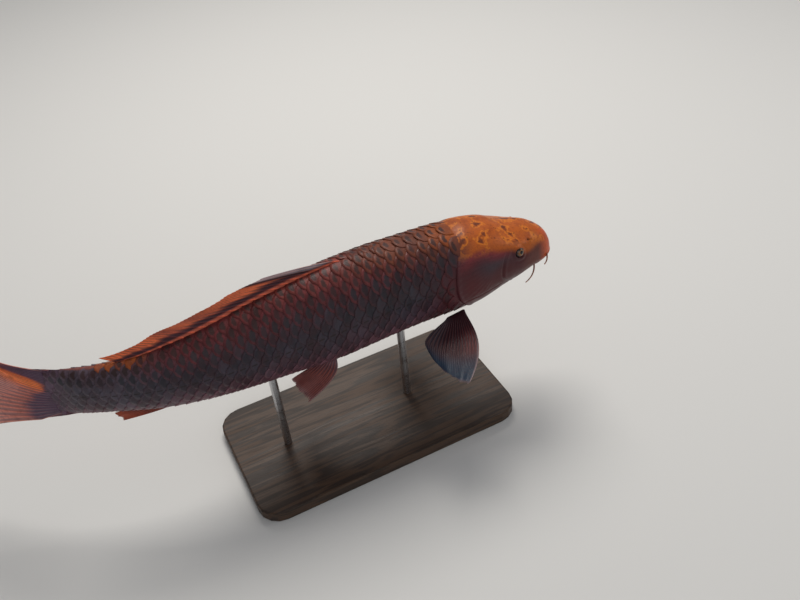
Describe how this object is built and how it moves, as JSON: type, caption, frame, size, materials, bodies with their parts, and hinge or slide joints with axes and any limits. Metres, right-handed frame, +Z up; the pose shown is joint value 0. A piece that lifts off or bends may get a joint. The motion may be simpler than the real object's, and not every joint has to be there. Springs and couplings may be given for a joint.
{
  "type": "koi carp display model",
  "caption": "Life-size still model of a koi carp gliding with its tail bent to the left, folded dorsal fin and spread breast fins, held by two short rods on a flat rounded base.",
  "frame": {"origin": "middle of the underside of the stand's base", "axes": "+X towards the fish's head, +Y to the fish's left, +Z up"},
  "size_m": [0.5695, 0.2196, 0.2346],
  "materials": {
    "koi_head": "moist orange skin with small brown freckles, darker red below",
    "koi_gill_cover": "smooth dark red gill cover with a slate patch",
    "koi_trunk": "overlapping dark scales with orange edges on the back and dull crimson specks on the side",
    "koi_fin": "thin ribbed membrane, red-orange at the root and paler towards the edge",
    "koi_eye": "clear glossy dome over a black pupil and a brass-coloured ring",
    "koi_barbel": "smooth fleshy feeler",
    "stand_base": "dark stained wood with a satin lacquer",
    "stand_rod": "brushed round bar"
  },
  "bodies": {
    "root": {"barbel_corner_left": "koi_barbel", "barbel_corner_right": "koi_barbel", "barbel_lip_left": "koi_barbel", "barbel_lip_right": "koi_barbel", "eye_left": "koi_eye", "eye_right": "koi_eye", "fin_anal": "koi_fin", "fin_caudal_lower": "koi_fin", "fin_caudal_upper": "koi_fin", "fin_dorsal": "koi_fin", "fin_pectoral_left": "koi_fin", "fin_pectoral_right": "koi_fin", "fin_pelvic_left": "koi_fin", "fin_pelvic_right": "koi_fin", "gill_cover_left": "koi_gill_cover", "gill_cover_right": "koi_gill_cover", "head": "koi_head", "lower_jaw": "koi_head", "stand_base": "stand_base", "stand_rod_front": "stand_rod", "stand_rod_rear": "stand_rod", "tail_stem": "koi_trunk", "trunk_front": "koi_trunk", "trunk_middle": "koi_trunk", "trunk_rear": "koi_trunk"}
  },
  "joints": []
}
